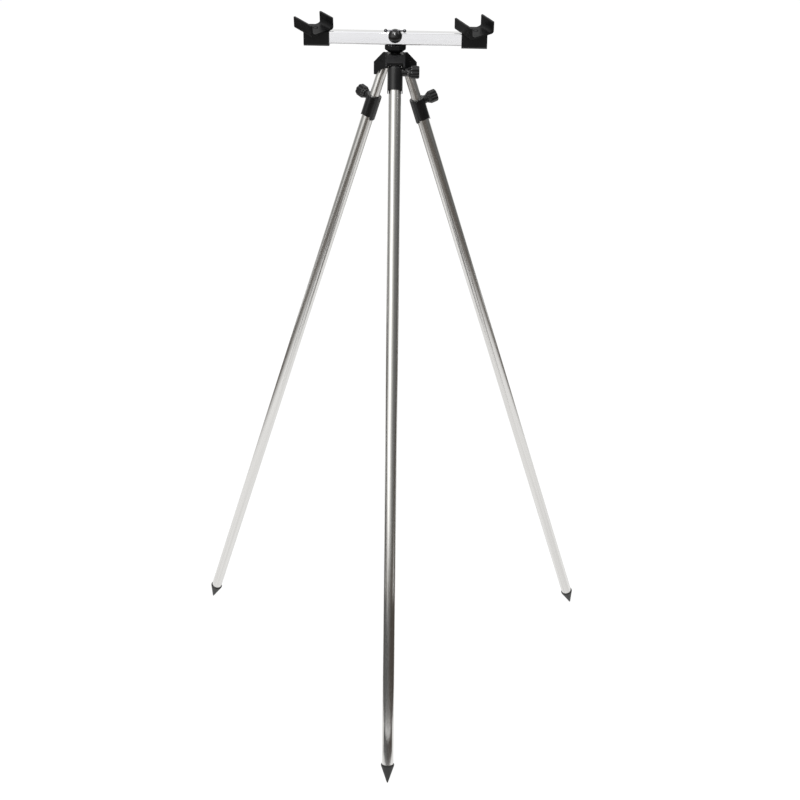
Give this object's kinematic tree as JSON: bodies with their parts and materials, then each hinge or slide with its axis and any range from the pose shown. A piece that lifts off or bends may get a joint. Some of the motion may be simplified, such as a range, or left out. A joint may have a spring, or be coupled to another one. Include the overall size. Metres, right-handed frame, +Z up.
{
  "type": "surf rod tripod",
  "caption": "Folding surf rod tripod with telescopic tube legs, clamp knobs and foot spikes, and a swivelling crossbar that carries open rod cups.",
  "frame": {"origin": "middle of the bounding box, on the ground between the spikes' tips", "axes": "+Z up, -Y toward the front leg, X along the crossbar when the head is square"},
  "size_m": [0.9568, 0.8112, 1.555],
  "materials": {
    "moulded_black": "black moulded nylon, semi-gloss",
    "spike_charcoal": "charcoal moulded nylon, satin",
    "polished_aluminium": "bright anodised tube",
    "plated_steel": "zinc plated"
  },
  "bodies": {
    "hub": {"hub_body": "moulded_black", "head_washer": "plated_steel", "head_bolt": "plated_steel", "head_nut": "plated_steel", "front_pivot_pin": "moulded_black", "right_pivot_pin": "moulded_black", "left_pivot_pin": "moulded_black"},
    "head": {"head_block": "moulded_black", "bar_clamp_nut": "plated_steel", "crossbar": "polished_aluminium", "left_cup_base": "moulded_black", "right_cup_base": "moulded_black", "left_cup_screw": "moulded_black", "right_cup_screw": "moulded_black"},
    "bar_clamp": {"bar_clamp_screw": "plated_steel", "bar_clamp_knob": "moulded_black"},
    "tommy": {"tommy_bar": "plated_steel"},
    "left_cup_swivel": {"left_cup": "moulded_black"},
    "right_cup_swivel": {"right_cup": "moulded_black"},
    "front_leg": {"front_knuckle": "moulded_black", "front_inner_tube": "polished_aluminium", "front_inner_plug": "moulded_black"},
    "front_extension": {"front_outer_tube": "polished_aluminium", "front_spike": "spike_charcoal", "front_collar": "moulded_black"},
    "front_clamp": {"front_clamp_screw": "plated_steel", "front_clamp_knob": "moulded_black"},
    "right_leg": {"right_knuckle": "moulded_black", "right_inner_tube": "polished_aluminium", "right_inner_plug": "moulded_black"},
    "right_extension": {"right_outer_tube": "polished_aluminium", "right_spike": "spike_charcoal", "right_collar": "moulded_black"},
    "right_clamp": {"right_clamp_screw": "plated_steel", "right_clamp_knob": "moulded_black"},
    "left_leg": {"left_knuckle": "moulded_black", "left_inner_tube": "polished_aluminium", "left_inner_plug": "moulded_black"},
    "left_extension": {"left_outer_tube": "polished_aluminium", "left_spike": "spike_charcoal", "left_collar": "moulded_black"},
    "left_clamp": {"left_clamp_screw": "plated_steel", "left_clamp_knob": "moulded_black"}
  },
  "joints": [
    {"name": "head_swivel", "type": "hinge", "parent": "hub", "child": "head", "pos_m": [-0.01092, -0.00691, 1.4811], "axis": [-0.0068, -0.0887, 0.996], "continuous": true},
    {"name": "bar_clamp_turn", "type": "hinge", "parent": "head", "child": "bar_clamp", "pos_m": [-0.01114, -0.00976, 1.51318], "axis": [-0.0346, -0.9954, -0.0889], "range_deg": [0, 720]},
    {"name": "tommy_slide", "type": "slide", "parent": "bar_clamp", "child": "tommy", "axis": [0.9994, -0.0351, 0.0037], "range_m": [-0.005, 0.005]},
    {"name": "left_cup_turn", "type": "hinge", "parent": "head", "child": "left_cup_swivel", "pos_m": [-0.17187, -0.01276, 1.51934], "axis": [-0.0161, -0.3596, 0.933], "continuous": true},
    {"name": "right_cup_turn", "type": "hinge", "parent": "head", "child": "right_cup_swivel", "pos_m": [0.14893, -0.02402, 1.52053], "axis": [-0.0161, -0.3596, 0.933], "continuous": true},
    {"name": "front_leg_fold", "type": "hinge", "parent": "hub", "child": "front_leg", "pos_m": [-0.01079, -0.02627, 1.46071], "axis": [1, -0.0003, 0.0068], "range_deg": [0, 19.5]},
    {"name": "front_leg_slide", "type": "slide", "parent": "front_leg", "child": "front_extension", "axis": [0.0065, -0.2489, -0.9685], "range_m": [0, 0.65]},
    {"name": "front_clamp_turn", "type": "hinge", "parent": "front_extension", "child": "front_clamp", "pos_m": [-0.01066, -0.03128, 1.44124], "axis": [1, -0.0003, 0.0068], "range_deg": [0, 720]},
    {"name": "right_leg_fold", "type": "hinge", "parent": "hub", "child": "right_leg", "pos_m": [0.00747, 0.00524, 1.46364], "axis": [-0.5002, 0.8628, 0.0734], "range_deg": [0, 19.5]},
    {"name": "right_leg_slide", "type": "slide", "parent": "right_leg", "child": "right_extension", "axis": [0.2954, 0.2497, -0.9221], "range_m": [-0.079, 0.571]},
    {"name": "right_clamp_turn", "type": "hinge", "parent": "right_extension", "child": "right_clamp", "pos_m": [0.03675, 0.03, 1.37225], "axis": [0.9001, 0.2506, 0.3563], "range_deg": [0, 720]},
    {"name": "left_leg_fold", "type": "hinge", "parent": "hub", "child": "left_leg", "pos_m": [-0.02907, 0.00526, 1.46339], "axis": [-0.4997, -0.8625, -0.0802], "range_deg": [0, 19.5]},
    {"name": "left_leg_slide", "type": "slide", "parent": "left_leg", "child": "left_extension", "axis": [-0.2827, 0.2499, -0.9261], "range_m": [-0.072, 0.578]},
    {"name": "left_clamp_turn", "type": "hinge", "parent": "left_extension", "child": "left_clamp", "pos_m": [-0.05511, 0.02827, 1.3781], "axis": [-0.697, 0.6098, 0.3773], "range_deg": [0, 720]}
  ]
}
